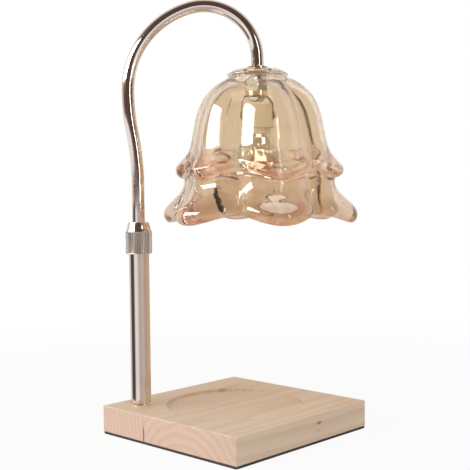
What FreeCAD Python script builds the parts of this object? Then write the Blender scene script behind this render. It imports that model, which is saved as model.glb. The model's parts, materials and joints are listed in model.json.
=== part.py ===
import FreeCAD, Part
import math
import os

from FreeCAD import Vector

# A candle warmer lamp: a square wooden base with a candle seat, a post that holds a hooked arm by a
# knurled lock collar, and a two-tier petalled glass shade over a twist-lock reflector lamp.
# Millimetres. The origin is at the middle of the base's underside, on the table. X runs along the
# wood's grain, Y across it, and Z up.

# Base
BASE_SIDE = 150.0
PAD_THICKNESS = 1.5
WOOD_THICKNESS = 21.0
BASE_TOP = PAD_THICKNESS + WOOD_THICKNESS
BASE_BEVEL = 0.6
GLUE_LINE_Y = 25.0
SEAT_RADIUS = 55.0
SEAT_DEPTH = 2.5

# Post, which stands near the base's left rear corner
POST_X = -51.0
POST_Y = 56.0
POST_RADIUS = 8.0
POST_WALL = 1.0
POST_TOP = 146.0
FOOT_RING_RADIUS = 9.3
FOOT_RING_HEIGHT = 1.5
THREAD_RADIUS = 5.0
FOOT_PLUG_HEIGHT = 10.0
POCKET_RADIUS = 13.0
POCKET_TOP = 12.5
GLAND_HEIGHT = 7.5
GLAND_BORE_RADIUS = 2.9

# Lock collar at the post's top
COLLAR_RADIUS = 10.4
COLLAR_FOOT = 144.3
KNURL_TOP = 162.3
COLLAR_TOP = 169.7
COLLAR_TIP_RADIUS = 8.2
HEAD_THREAD_RADIUS = 7.0
HEAD_BUSH_FOOT = 132.0
HEAD_BUSH_TOP = 157.0

# Arm: one bent tube in an upright plane, turned from +X towards the base's front right corner
ARM_TURN_DEG = -45.0
ARM_RADIUS = 5.0
ARM_WALL = 1.0
ARM_REACH = 97.0
ARM_FOOT = 96.0
BEND_START = 200.0
LEAN_DEG = 10.6
LEAN_LOW_RADIUS = 225.0
LEAN_HIGH_RADIUS = 180.0
HOOK_TOP = 342.3
HOOK_FRONT_RADIUS = 42.3
ARM_TIP = 266.5
GUIDE_LENGTH = 12.0

# Lamp stack on the arm's end, from the gold nut on the glass down to the bulb's face
TOP_NUT_TOP = 293.7
GLASS_TOP = 291.0
GLASS_CEILING = 286.0
GLASS_HOLE_RADIUS = 5.6
SHADE_NUT_TOP = 284.8
SHADE_NUT_FOOT = 275.0
BRACKET_TOP = 270.4
BRACKET_SHEET = 1.0
HOLDER_TOP = 264.5
HOLDER_FOOT = 244.0
HOLDER_RADIUS = 12.6
HOLDER_FLAT = 11.6
CAP_TOP = 252.3
CAP_RADIUS = 10.6
PIN_CIRCLE_RADIUS = 5.0
TWIST_DEG = 25.0
REFLECTOR_TOP = 239.0
BULB_FACE = 208.0
BULB_RADIUS = 25.0

# Glass shade: six petals in each of two tiers. Petal angles count from the line towards the viewer,
# which is square to the arm's plane.
PETALS = 6
FIRST_PETAL_DEG = -122.5

# Fits between bodies that turn or slide, and between pieces of one body
RUNNING = 0.06
SNUG = 0.03


def rod(radius, low, high, x=0.0, y=0.0):
    """An upright cylinder from one height to another."""
    return Part.makeCylinder(radius, high - low, Vector(x, y, low))


def ring(inner, outer, low, high, x=0.0, y=0.0):
    """An upright tube or washer."""
    return rod(outer, low, high, x, y).cut(rod(inner, low - 1, high + 1, x, y))


def slab(x0, x1, y0, y1, z0, z1):
    """A box between two corners."""
    return Part.makeBox(x1 - x0, y1 - y0, z1 - z0, Vector(x0, y0, z0))


def turned(profile, x=0.0, y=0.0):
    """A solid of revolution from (radius, height) corners."""
    points = [Vector(r, 0, z) for r, z in profile]
    face = Part.Face(Part.makePolygon(points + points[:1]))
    solid = face.revolve(Vector(0, 0, 0), Vector(0, 0, 1), 360)
    solid.translate(Vector(x, y, 0))
    return solid


def hex_bar(across_flats, low, high, x=0.0, y=0.0):
    """A hexagonal prism, two of its flats facing along the arm."""
    corner = across_flats / 2 / math.cos(math.radians(30))
    angles = [math.radians(60 * k + 30 + ARM_TURN_DEG) for k in range(6)]
    points = [Vector(x + corner * math.cos(a), y + corner * math.sin(a), low) for a in angles]
    return Part.Face(Part.makePolygon(points + points[:1])).extrude(Vector(0, 0, high - low))


# Places in the arm's plane: reach is measured from the post's axis towards the shade, side is away
# from the viewer.
ALONG = Vector(math.cos(math.radians(ARM_TURN_DEG)), math.sin(math.radians(ARM_TURN_DEG)), 0)
ASIDE = Vector(-ALONG.y, ALONG.x, 0)
SHADE_X = POST_X + ARM_REACH * ALONG.x
SHADE_Y = POST_Y + ARM_REACH * ALONG.y


def arm_place(reach, height, side=0.0):
    """A point of the arm's plane in the lamp's own frame."""
    return Vector(POST_X, POST_Y, height) + ALONG * reach + ASIDE * side


def on_shade_axis(shape):
    """Turns a shape made on the Z axis to face along the arm and puts it on the shade's axis."""
    placed = shape.copy()
    placed.rotate(Vector(0, 0, 0), Vector(0, 0, 1), ARM_TURN_DEG)
    placed.translate(Vector(SHADE_X, SHADE_Y, 0))
    return placed


# Arm path
def arc_in_arm_plane(centre, radius, start_deg, end_deg, side):
    """An arc about a (reach, height) centre."""
    places = []
    for angle in (start_deg, (start_deg + end_deg) / 2, end_deg):
        reach = centre[0] + radius * math.cos(math.radians(angle))
        height = centre[1] + radius * math.sin(math.radians(angle))
        places.append(arm_place(reach, height, side))
    return Part.Arc(*places).toShape()


def arm_path(low, tip, side=0.0):
    """The arm's centreline: straight in the post, a slight lean back, the hook, and straight down."""
    lean = math.radians(LEAN_DEG)
    low_centre = (-LEAN_LOW_RADIUS, BEND_START)
    swap_reach = low_centre[0] + LEAN_LOW_RADIUS * math.cos(lean)
    swap_height = low_centre[1] + LEAN_LOW_RADIUS * math.sin(lean)
    high_centre = (
        swap_reach + LEAN_HIGH_RADIUS * math.cos(lean),
        swap_height + LEAN_HIGH_RADIUS * math.sin(lean),
    )
    front_centre = (ARM_REACH - HOOK_FRONT_RADIUS, HOOK_TOP - HOOK_FRONT_RADIUS)
    # The hook's rear arc starts where the lean ends and meets the front arc without a kink
    back_reach = high_centre[0] - LEAN_HIGH_RADIUS
    across = front_centre[0] - back_reach
    rise = front_centre[1] - high_centre[1]
    rear_radius = (across**2 + rise**2 - HOOK_FRONT_RADIUS**2) / (2 * (across - HOOK_FRONT_RADIUS))
    rear_centre = (back_reach + rear_radius, high_centre[1])
    meet_deg = math.degrees(math.atan2(rise, front_centre[0] - rear_centre[0]))
    return Part.Wire(
        [
            Part.LineSegment(arm_place(0, low, side), arm_place(0, BEND_START, side)).toShape(),
            arc_in_arm_plane(low_centre, LEAN_LOW_RADIUS, 0, LEAN_DEG, side),
            arc_in_arm_plane(high_centre, LEAN_HIGH_RADIUS, 180 + LEAN_DEG, 180, side),
            arc_in_arm_plane(rear_centre, rear_radius, 180, meet_deg, side),
            arc_in_arm_plane(front_centre, HOOK_FRONT_RADIUS, meet_deg, 0, side),
            Part.LineSegment(
                arm_place(ARM_REACH, front_centre[1], side), arm_place(ARM_REACH, tip, side)
            ).toShape(),
        ]
    )


def rod_along(path, radius):
    """A round rod along a path that starts upright."""
    start = path.Vertexes[0].Point
    section = Part.Wire([Part.makeCircle(radius, start, Vector(0, 0, 1))])
    return path.makePipeShell([section], True, True)


# Base
def base_block():
    """The whole wooden block, bevelled, with the round seat sunk in its top."""
    half = BASE_SIDE / 2
    block = slab(-half, half, -half, half, PAD_THICKNESS, BASE_TOP)
    block = block.makeChamfer(BASE_BEVEL, block.Edges)
    return block.cut(rod(SEAT_RADIUS, BASE_TOP - SEAT_DEPTH, BASE_TOP + 1))


def base_stave_front():
    """The wide stave on the viewer's side of the glue line."""
    half = BASE_SIDE / 2
    return base_block().common(slab(-half, half, -half, GLUE_LINE_Y, 0, BASE_TOP))


def base_stave_rear():
    """The narrow stave that carries the post, with its nut pocket and the way in for the cord."""
    half = BASE_SIDE / 2
    stave = base_block().common(slab(-half, half, GLUE_LINE_Y, half, 0, BASE_TOP))
    stave = stave.cut(rod(POCKET_RADIUS, 0, POCKET_TOP, POST_X, POST_Y))
    stave = stave.cut(rod(THREAD_RADIUS + 0.4, 0, BASE_TOP + 1, POST_X, POST_Y))
    way_start = Vector(POST_X, POST_Y, GLAND_HEIGHT)
    return stave.cut(Part.makeCylinder(4.0, half - POST_Y + 1, way_start, Vector(0, 1, 0)))


def base_pad():
    """The thin non-slip sheet under the wood."""
    half = BASE_SIDE / 2
    pad = slab(-half, half, -half, half, 0, PAD_THICKNESS)
    corners = [e for e in pad.Edges if abs(e.tangentAt(e.FirstParameter).z) > 0.9]
    return pad.makeFillet(2.0, corners)


def cord_gland():
    """The flanged rubber bush in the base's rear edge."""
    edge = BASE_SIDE / 2
    start = POST_Y + POCKET_RADIUS - 1.0
    along_y = Vector(0, 1, 0)
    sleeve = Part.makeCylinder(4.0 - SNUG, edge - start, Vector(POST_X, start, GLAND_HEIGHT), along_y)
    flange = Part.makeCylinder(5.8, 1.6, Vector(POST_X, edge, GLAND_HEIGHT), along_y)
    flange = flange.makeFillet(0.6, [max(flange.Edges, key=lambda e: e.CenterOfMass.y)])
    bore = Part.makeCylinder(GLAND_BORE_RADIUS, 20, Vector(POST_X, start - 2, GLAND_HEIGHT), along_y)
    return sleeve.fuse(flange).removeSplitter().cut(bore)


# Post and how it is held
def at_post(shape):
    """Puts a shape made on the Z axis on the post's axis."""
    placed = shape.copy()
    placed.translate(Vector(POST_X, POST_Y, 0))
    return placed


def foot_washer():
    return ring(THREAD_RADIUS + 0.2, 11.0, POCKET_TOP - 1.5, POCKET_TOP, POST_X, POST_Y)


def foot_nut():
    top = POCKET_TOP - 1.5
    nut = hex_bar(14.0, top - 3.0, top, POST_X, POST_Y)
    return nut.cut(rod(THREAD_RADIUS + SNUG, 0, BASE_TOP, POST_X, POST_Y))


def foot_nipple():
    """The hollow threaded rod through the wood, which lets the wires pass."""
    top = BASE_TOP + FOOT_RING_HEIGHT + FOOT_PLUG_HEIGHT - 1.0
    return ring(3.5, THREAD_RADIUS, 6.5, top, POST_X, POST_Y)


def post_foot_ring():
    """The light gold ring that the post stands on."""
    low = BASE_TOP
    high = BASE_TOP + FOOT_RING_HEIGHT
    inner = THREAD_RADIUS + 0.2
    profile = [
        (inner, low),
        (FOOT_RING_RADIUS, low),
        (FOOT_RING_RADIUS, high - 0.5),
        (FOOT_RING_RADIUS - 0.5, high),
        (inner, high),
    ]
    return turned(profile, POST_X, POST_Y)


def post_foot_plug():
    low = BASE_TOP + FOOT_RING_HEIGHT
    outer = POST_RADIUS - POST_WALL - SNUG
    return ring(THREAD_RADIUS + SNUG, outer, low, low + FOOT_PLUG_HEIGHT, POST_X, POST_Y)


def post_tube():
    low = BASE_TOP + FOOT_RING_HEIGHT
    return ring(POST_RADIUS - POST_WALL, POST_RADIUS, low, POST_TOP, POST_X, POST_Y)


def post_head_bush():
    """Threaded bush: a plug in the post, a shoulder on its end, and the collar's thread above."""
    bore = ARM_RADIUS + RUNNING
    plug = POST_RADIUS - POST_WALL - SNUG
    shoulder_top = POST_TOP + 1.5
    profile = [
        (bore, HEAD_BUSH_FOOT),
        (plug, HEAD_BUSH_FOOT),
        (plug, POST_TOP),
        (POST_RADIUS, POST_TOP),
        (POST_RADIUS, shoulder_top),
        (HEAD_THREAD_RADIUS, shoulder_top),
        (HEAD_THREAD_RADIUS, HEAD_BUSH_TOP),
        (bore, HEAD_BUSH_TOP),
    ]
    return turned(profile, POST_X, POST_Y)


# Lock collar and collet
def clamp_collet():
    """The slit ring round the arm, chamfered where the collar's inner cone presses it."""
    bore = ARM_RADIUS + RUNNING
    low = HEAD_BUSH_TOP + 0.3
    top = 165.3
    profile = [(bore, low), (6.3, low), (6.3, top - 2.3), (5.6, top), (bore, top)]
    slit = slab(4.0, 8.0, -0.6, 0.6, low - 1, top + 1)
    return at_post(turned(profile).cut(slit))


def lock_collar():
    """The hand-turned ring: a skirt over the post, a grip, and a polished cone."""
    skirt_bore = POST_RADIUS + RUNNING
    thread_bore = HEAD_THREAD_RADIUS + RUNNING
    arm_hole = ARM_RADIUS + 0.3
    step = POST_TOP + 2.0
    edge = 0.5
    profile = [
        (skirt_bore, COLLAR_FOOT),
        (COLLAR_RADIUS - edge, COLLAR_FOOT),
        (COLLAR_RADIUS, COLLAR_FOOT + edge),
        (COLLAR_RADIUS, KNURL_TOP - edge),
        (COLLAR_RADIUS - edge, KNURL_TOP),
        (COLLAR_TIP_RADIUS, COLLAR_TOP - edge),
        (COLLAR_TIP_RADIUS - edge, COLLAR_TOP),
        (arm_hole, COLLAR_TOP),
        (arm_hole, 167.0),
        (thread_bore, 163.0),
        (thread_bore, step),
        (skirt_bore, step),
    ]
    return turned(profile, POST_X, POST_Y)


# Arm
def arm_tube():
    """The bent tube. Its last stretch is threaded and goes through the glass."""
    path = arm_path(ARM_FOOT, ARM_TIP)
    return rod_along(path, ARM_RADIUS).cut(rod_along(path, ARM_RADIUS - ARM_WALL))


def arm_foot_ferrule():
    """A stem in the tube's lower end, the journal that the guide bush turns on, and a flange."""
    bore = 2.8
    journal = ARM_RADIUS - ARM_WALL - SNUG
    flange_top = ARM_FOOT - GUIDE_LENGTH
    profile = [
        (bore, flange_top - 2.0),
        (6.0, flange_top - 2.0),
        (6.0, flange_top),
        (journal, flange_top),
        (journal, ARM_FOOT + 8.0),
        (bore, ARM_FOOT + 8.0),
    ]
    return turned(profile, POST_X, POST_Y)


def arm_guide_bush():
    """The plastic slider between the arm's lower end and the post's bore."""
    bore = ARM_RADIUS - ARM_WALL - SNUG + RUNNING
    outer = POST_RADIUS - POST_WALL - RUNNING
    low = ARM_FOOT - GUIDE_LENGTH + 0.1
    return ring(bore, outer, low, ARM_FOOT - 0.1, POST_X, POST_Y)


LEAD_RADIUS = 0.9
LEAD_OFFSET = 1.4
LEAD_FOOT = 78.0
CONTACT_TOP = 259.4


def holder_leads():
    """The two wires from the lampholder through the arm, side by side across its plane."""
    paths = [arm_path(LEAD_FOOT, CONTACT_TOP, side) for side in (-LEAD_OFFSET, LEAD_OFFSET)]
    return Part.makeCompound([rod_along(path, LEAD_RADIUS) for path in paths])


def lead_splices():
    """The crimped sleeves on the wires' lower ends."""
    sleeves = []
    for side in (-LEAD_OFFSET, LEAD_OFFSET):
        foot = arm_place(0, LEAD_FOOT - 10.0, side)
        sleeves.append(Part.makeCylinder(1.3, 10.0, foot))
    return Part.makeCompound(sleeves)


# Shade fixings, from the top down
def shade_top_nut():
    low = GLASS_TOP + 0.5
    profile = [
        (ARM_RADIUS + SNUG, low),
        (8.5, low),
        (8.5, TOP_NUT_TOP - 0.5),
        (8.0, TOP_NUT_TOP),
        (ARM_RADIUS + SNUG, TOP_NUT_TOP),
    ]
    return turned(profile, SHADE_X, SHADE_Y)


def upper_shade_gasket():
    return ring(ARM_RADIUS + 0.2, 8.0, GLASS_TOP, GLASS_TOP + 0.5, SHADE_X, SHADE_Y)


def lower_shade_gasket():
    return ring(ARM_RADIUS + 0.2, 9.0, SHADE_NUT_TOP, GLASS_CEILING, SHADE_X, SHADE_Y)


def shade_nut():
    """The tall hexagonal nut that pulls the glass up against the gold nut."""
    bar = hex_bar(15.0, SHADE_NUT_FOOT, SHADE_NUT_TOP, SHADE_X, SHADE_Y)
    crown = turned(
        [
            (0, SHADE_NUT_FOOT - 1),
            (7.2, SHADE_NUT_FOOT - 1),
            (8.7, SHADE_NUT_FOOT + 1.0),
            (8.7, SHADE_NUT_TOP - 1.0),
            (7.4, SHADE_NUT_TOP + 0.2),
            (0, SHADE_NUT_TOP + 0.2),
        ],
        SHADE_X,
        SHADE_Y,
    )
    bore = rod(ARM_RADIUS + SNUG, SHADE_NUT_FOOT - 2, SHADE_NUT_TOP + 2, SHADE_X, SHADE_Y)
    return bar.common(crown).cut(bore)


def bracket_spacer():
    return ring(ARM_RADIUS + SNUG, 8.5, BRACKET_TOP, SHADE_NUT_FOOT, SHADE_X, SHADE_Y)


def bracket_nut():
    top = BRACKET_TOP - BRACKET_SHEET
    nut = hex_bar(12.0, top - 2.4, top, SHADE_X, SHADE_Y)
    return nut.cut(rod(ARM_RADIUS + SNUG, top - 5, top + 5, SHADE_X, SHADE_Y))


BRACKET_WIDTH = 8.0
LEG_FOOT = 251.0
LEG_BEND = 265.0
SCREW_HEIGHT = 255.0


def holder_bracket():
    """A bent strip: a flat top under the spacer, and two legs that splay down to the holder's sides."""
    inner = HOLDER_FLAT + 0.05
    outer = inner + BRACKET_SHEET
    top_half = 7.6
    low_top = BRACKET_TOP - BRACKET_SHEET
    outline = [
        (-outer, LEG_FOOT),
        (-outer, LEG_BEND),
        (-top_half, BRACKET_TOP),
        (top_half, BRACKET_TOP),
        (outer, LEG_BEND),
        (outer, LEG_FOOT),
        (inner, LEG_FOOT),
        (inner, LEG_BEND - 0.3),
        (top_half - 0.5, low_top),
        (-top_half + 0.5, low_top),
        (-inner, LEG_BEND - 0.3),
        (-inner, LEG_FOOT),
    ]
    points = [Vector(x, -BRACKET_WIDTH / 2, z) for x, z in outline]
    strip = Part.Face(Part.makePolygon(points + points[:1])).extrude(Vector(0, BRACKET_WIDTH, 0))
    strip = strip.fuse(rod(7.6, low_top, BRACKET_TOP)).removeSplitter()
    strip = strip.cut(rod(ARM_RADIUS + 0.2, low_top - 1, BRACKET_TOP + 1))
    holes = Part.makeCylinder(1.7, 60, Vector(-30, 0, SCREW_HEIGHT), Vector(1, 0, 0))
    return on_shade_axis(strip.cut(holes))


def bracket_screws():
    """Two round-headed screws through the bracket's legs into the ceramic."""
    screws = []
    for way in (-1, 1):
        direction = Vector(way, 0, 0)
        head_seat = HOLDER_FLAT + 0.05 + BRACKET_SHEET
        shank = Part.makeCylinder(1.5, 4.0, Vector(way * (head_seat - 4.0), 0, SCREW_HEIGHT), direction)
        head = Part.makeCylinder(2.8, 1.6, Vector(way * head_seat, 0, SCREW_HEIGHT), direction)
        rim = max(head.Edges, key=lambda e: way * e.CenterOfMass.x)
        head = head.makeFillet(0.7, [rim])
        low_x, high_x = sorted([way * (head_seat + 0.9), way * 16.0])
        slot = slab(low_x, high_x, -4, 4, SCREW_HEIGHT - 0.35, SCREW_HEIGHT + 0.35)
        screws.append(on_shade_axis(shank.fuse(head).removeSplitter().cut(slot)))
    return Part.makeCompound(screws)


def pin_way(way, radius, low, high, start_deg, end_deg):
    """The curved slot that a pin of this radius sweeps as the lamp twists."""
    inner = PIN_CIRCLE_RADIUS - radius
    outer = PIN_CIRCLE_RADIUS + radius
    band = ring(inner, outer, low, high)
    first = math.radians(start_deg)
    last = math.radians(end_deg)
    reach = 20.0
    fan = [Vector(0, 0, low), Vector(reach * math.cos(first), reach * math.sin(first), low)]
    fan.append(Vector(reach * math.cos(last), reach * math.sin(last), low))
    wedge = Part.Face(Part.makePolygon(fan + fan[:1])).extrude(Vector(0, 0, high - low))
    slot = band.common(wedge)
    for angle in (first, last):
        slot = slot.fuse(
            rod(radius, low, high, PIN_CIRCLE_RADIUS * math.cos(angle), PIN_CIRCLE_RADIUS * math.sin(angle))
        )
    if way < 0:
        slot.rotate(Vector(0, 0, 0), Vector(0, 0, 1), 180)
    return slot


FLOOR_TOP = 255.0
CHAMBER_TOP = 261.0


def holder_body():
    """Ceramic lampholder: a skirt round the bulb's cap, a floor with twist slots, and a contact chamber."""
    socket_radius = CAP_RADIUS + 0.35
    socket_top = CAP_TOP + 0.4
    profile = [
        (socket_radius, HOLDER_FOOT),
        (HOLDER_RADIUS - 0.5, HOLDER_FOOT),
        (HOLDER_RADIUS, HOLDER_FOOT + 0.5),
        (HOLDER_RADIUS, HOLDER_TOP - 1.5),
        (HOLDER_RADIUS - 1.5, HOLDER_TOP),
        (2.8, HOLDER_TOP),
        (2.8, CHAMBER_TOP),
        (8.6, CHAMBER_TOP),
        (8.6, FLOOR_TOP),
        (0, FLOOR_TOP),
        (0, socket_top),
        (socket_radius, socket_top),
    ]
    body = turned(profile)
    for way in (-1, 1):
        low_x, high_x = sorted([way * HOLDER_FLAT, way * 20.0])
        body = body.cut(slab(low_x, high_x, -20, 20, LEG_FOOT - 1.5, 270))
        tap = Part.makeCylinder(
            1.5 + SNUG, 3.5, Vector(way * (HOLDER_FLAT - 3.3), 0, SCREW_HEIGHT), Vector(way, 0, 0)
        )
        body = body.cut(tap)
        # The narrow slot holds the pin's neck, and its wide end lets the pin's head through
        body = body.cut(pin_way(way, 2.0, socket_top - 1, FLOOR_TOP + 1, 90, 90 + TWIST_DEG))
        end = math.radians(90 + TWIST_DEG)
        entry = rod(
            3.0,
            socket_top - 1,
            FLOOR_TOP + 1,
            way * PIN_CIRCLE_RADIUS * math.cos(end),
            way * PIN_CIRCLE_RADIUS * math.sin(end),
        )
        body = body.cut(entry)
    return on_shade_axis(body)


def holder_contacts():
    """Two flat bronze strips above the pins' heads, each under its wire."""
    strips = []
    for way in (-1, 1):
        near = way * 0.7
        far = way * 7.4
        strip = slab(-2.2, 2.2, min(near, far), max(near, far), CONTACT_TOP - 0.5, CONTACT_TOP)
        strips.append(on_shade_axis(strip))
    return Part.makeCompound(strips)


# Bulb
def bulb_cap():
    """The lamp's ceramic cap, with a waist where the reflector is cemented in."""
    profile = [
        (0, CAP_TOP),
        (CAP_RADIUS - 0.8, CAP_TOP),
        (CAP_RADIUS, CAP_TOP - 0.8),
        (CAP_RADIUS, REFLECTOR_TOP),
        (8.2, REFLECTOR_TOP),
        (8.2, REFLECTOR_TOP + 5.0),
        (0, REFLECTOR_TOP + 5.0),
    ]
    return turned(profile, SHADE_X, SHADE_Y)


def bulb_pins():
    """Two stepped pins that hook over the lampholder's floor."""
    pins = []
    for way in (-1, 1):
        y = way * PIN_CIRCLE_RADIUS
        neck = rod(1.6, CAP_TOP, 257.0, 0, y)
        head = rod(2.4, 256.0, 258.5, 0, y)
        pins.append(on_shade_axis(neck.fuse(head).removeSplitter()))
    return Part.makeCompound(pins)


REFLECTOR_WALL = 1.2
REFLECTOR_OUTLINE = [
    (10.4, REFLECTOR_TOP),
    (12.6, 235.5),
    (13.6, 230.0),
    (16.8, 223.0),
    (22.0, 215.5),
    (24.4, 211.5),
]


def bulb_reflector():
    """The flared glass bowl with a cylindrical rim."""
    inner = [(r - REFLECTOR_WALL, z) for r, z in reversed(REFLECTOR_OUTLINE)]
    rim_top = BULB_FACE + 2.8
    rim_bore = BULB_RADIUS - REFLECTOR_WALL
    rim = [(BULB_RADIUS, rim_top), (BULB_RADIUS, BULB_FACE), (rim_bore, BULB_FACE), (rim_bore, rim_top)]
    return turned(REFLECTOR_OUTLINE + rim + inner, SHADE_X, SHADE_Y)


def bulb_lens():
    """The clear cover glass in the bowl's rim, slightly domed."""
    radius = BULB_RADIUS - REFLECTOR_WALL - SNUG
    low = BULB_FACE + 0.5
    profile = [(0, low - 0.3), (radius - 2, low), (radius, low), (radius, low + 1.6), (0, low + 1.4)]
    return turned(profile, SHADE_X, SHADE_Y)


def bulb_burner():
    """The small quartz capsule on the bowl's axis."""
    profile = [
        (0, REFLECTOR_TOP + 5.0),
        (3.2, REFLECTOR_TOP + 5.0),
        (3.2, 233.0),
        (4.6, 231.0),
        (4.6, 221.0),
        (3.4, 218.6),
        (1.2, 217.4),
        (0, 217.2),
    ]
    return turned(profile, SHADE_X, SHADE_Y)


# Glass shade
# Each station is a ring of the wall: (radius, height) at a petal's middle, then in the valley
# between two petals. They run down the outside and back up the inside.
OUTSIDE = [
    (20.0, 289.0, 20.0, 289.0),
    (24.6, 284.2, 24.0, 284.2),
    (30.8, 281.5, 27.6, 281.2),
    (36.2, 278.0, 31.2, 277.5),
    (41.3, 273.4, 34.8, 272.5),
    (45.2, 268.8, 37.6, 267.6),
    (48.9, 261.5, 41.0, 261.0),
    (51.5, 253.0, 43.6, 253.0),
    (53.6, 243.0, 45.8, 243.0),
    (55.7, 232.6, 48.0, 233.5),
    (58.0, 225.5, 50.2, 227.0),
    (62.2, 219.4, 52.8, 221.5),
    (66.2, 214.6, 55.0, 216.8),
    (68.9, 211.2, 56.5, 213.6),
    (68.8, 207.4, 56.8, 211.0),
    (66.0, 204.8, 55.9, 209.2),
    (62.8, 203.6, 54.6, 207.6),
    (61.7, 200.6, 53.9, 204.4),
    (62.6, 196.8, 53.9, 199.8),
    (65.6, 192.2, 54.3, 194.8),
    (71.8, 186.4, 55.5, 189.0),
    (77.6, 180.6, 56.8, 184.0),
    (79.9, 175.6, 57.4, 180.2),
    (79.2, 171.2, 57.3, 177.4),
    (76.4, 168.4, 56.4, 175.8),
]
INSIDE = [
    (72.8, 169.4, 54.9, 176.0),
    (70.4, 173.8, 53.6, 178.4),
    (67.0, 180.6, 52.3, 182.8),
    (61.8, 187.6, 50.9, 189.0),
    (58.8, 194.6, 50.2, 195.6),
    (57.8, 202.6, 49.9, 203.4),
    (57.0, 210.0, 49.4, 210.6),
    (54.6, 219.0, 47.2, 219.4),
    (52.1, 229.6, 44.6, 229.8),
    (50.0, 242.0, 42.2, 242.0),
    (47.8, 252.4, 39.9, 252.4),
    (45.0, 260.4, 37.2, 260.2),
    (40.6, 268.0, 33.4, 267.2),
    (34.6, 273.6, 29.0, 272.6),
    (26.6, 278.2, 23.6, 277.6),
    (17.0, 282.4, 16.4, 282.2),
    (10.0, 285.2, 10.0, 285.2),
]
# Angles from a petal's middle at which the wall is drawn, closer together towards the valley
SECTION_DEGS = [0.0, 8.0, 15.0, 21.0, 25.5, 28.5, 30.0]


def petal_radius(middle, valley, angle_deg):
    """Radius of a petal, which is an arc from valley to valley, bulging to its middle radius."""
    angle = math.radians(angle_deg)
    edge = math.radians(180 / PETALS)
    # The arc's centre lies on the petal's middle line, as far from the valley as from the middle
    offset = (middle**2 - valley**2) / (2 * (middle - valley * math.cos(edge)))
    bulge = middle - offset
    return offset * math.cos(angle) + math.sqrt(bulge**2 - (offset * math.sin(angle)) ** 2)


def station_point(station, angle_deg):
    """The station's point at this angle from a petal's middle."""
    middle, middle_z, valley, valley_z = station
    radius = petal_radius(middle, valley, angle_deg)
    petal_share = (1 + math.cos(math.radians(angle_deg * PETALS))) / 2
    height = valley_z + (middle_z - valley_z) * petal_share
    angle = math.radians(angle_deg)
    return Vector(radius * math.cos(angle), radius * math.sin(angle), height)


def shade_section(angle_deg):
    """The wall's closed section at this angle: outside curve, inside curve, and the top's two lines."""
    outside = [station_point(s, angle_deg) for s in OUTSIDE]
    inside = [station_point(s, angle_deg) for s in OUTSIDE[-1:] + INSIDE]
    angle = math.radians(angle_deg)
    corner = Vector(10.0 * math.cos(angle), 10.0 * math.sin(angle), OUTSIDE[0][1])
    edges = []
    for points in (outside, inside):
        curve = Part.BSplineCurve()
        curve.interpolate(points)
        edges.append(curve.toShape())
    edges.append(Part.makeLine(inside[-1], corner))
    edges.append(Part.makeLine(corner, outside[0]))
    return Part.Wire(edges)


def glass_shade():
    """Six lofted petals and the flat-topped disc that the nuts clamp."""
    angles = [-a for a in reversed(SECTION_DEGS[1:])] + SECTION_DEGS
    petal = Part.makeLoft([shade_section(a) for a in angles], True, False)
    petals = []
    for k in range(PETALS):
        copy = petal.copy()
        copy.rotate(Vector(0, 0, 0), Vector(0, 0, 1), 360 / PETALS * k)
        petals.append(copy)
    disc = turned(
        [
            (GLASS_HOLE_RADIUS, GLASS_CEILING),
            (10.5, GLASS_CEILING),
            (22.0, GLASS_CEILING - 1.0),
            (24.4, 285.6),
            (24.4, 287.2),
            (18.4, GLASS_TOP - 0.4),
            (17.4, GLASS_TOP),
            (GLASS_HOLE_RADIUS, GLASS_TOP),
        ]
    )
    shade = petals[0].fuse(petals[1:] + [disc]).removeSplitter()
    shade = shade.cut(rod(GLASS_HOLE_RADIUS, 270, 300))
    shade.rotate(Vector(0, 0, 0), Vector(0, 0, 1), FIRST_PETAL_DEG)
    shade.translate(Vector(SHADE_X, SHADE_Y, 0))
    return shade


SUB_PARTS = [
    base_stave_front,
    base_stave_rear,
    base_pad,
    cord_gland,
    foot_washer,
    foot_nut,
    foot_nipple,
    post_foot_ring,
    post_foot_plug,
    post_tube,
    post_head_bush,
    clamp_collet,
    lock_collar,
    arm_tube,
    arm_foot_ferrule,
    arm_guide_bush,
    holder_leads,
    lead_splices,
    shade_top_nut,
    upper_shade_gasket,
    glass_shade,
    lower_shade_gasket,
    shade_nut,
    bracket_spacer,
    bracket_nut,
    holder_bracket,
    bracket_screws,
    holder_body,
    holder_contacts,
    bulb_cap,
    bulb_pins,
    bulb_reflector,
    bulb_lens,
    bulb_burner,
]


def main():
    os.makedirs("parts", exist_ok=True)
    for make in SUB_PARTS:
        shape = make()
        shape.exportStep(f"parts/{make.__name__}.step")
        box = shape.BoundBox
        print(
            f"{make.__name__}: {len(shape.Solids)} solid(s), valid {shape.isValid()}, "
            f"{shape.Volume:.0f} mm3, x {box.XMin:.1f} to {box.XMax:.1f}, "
            f"y {box.YMin:.1f} to {box.YMax:.1f}, z {box.ZMin:.1f} to {box.ZMax:.1f}"
        )


main()
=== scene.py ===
# %% [markdown]
# # A candle warmer lamp
# This lesson dresses a lamp whose exact solids already exist. A square block of pale wood carries a
# plated post, the post holds a hooked arm, and the arm carries a petalled glass shade over a reflector
# lamp that melts a candle from above. The solids give every place and size, so the work here is on
# three things: finishes for the solids that are right as they are, better shapes for the glass, the
# grip and the reflector, and the studio round them.

import json
import math

import bpy
from mathutils import Matrix, Vector

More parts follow.
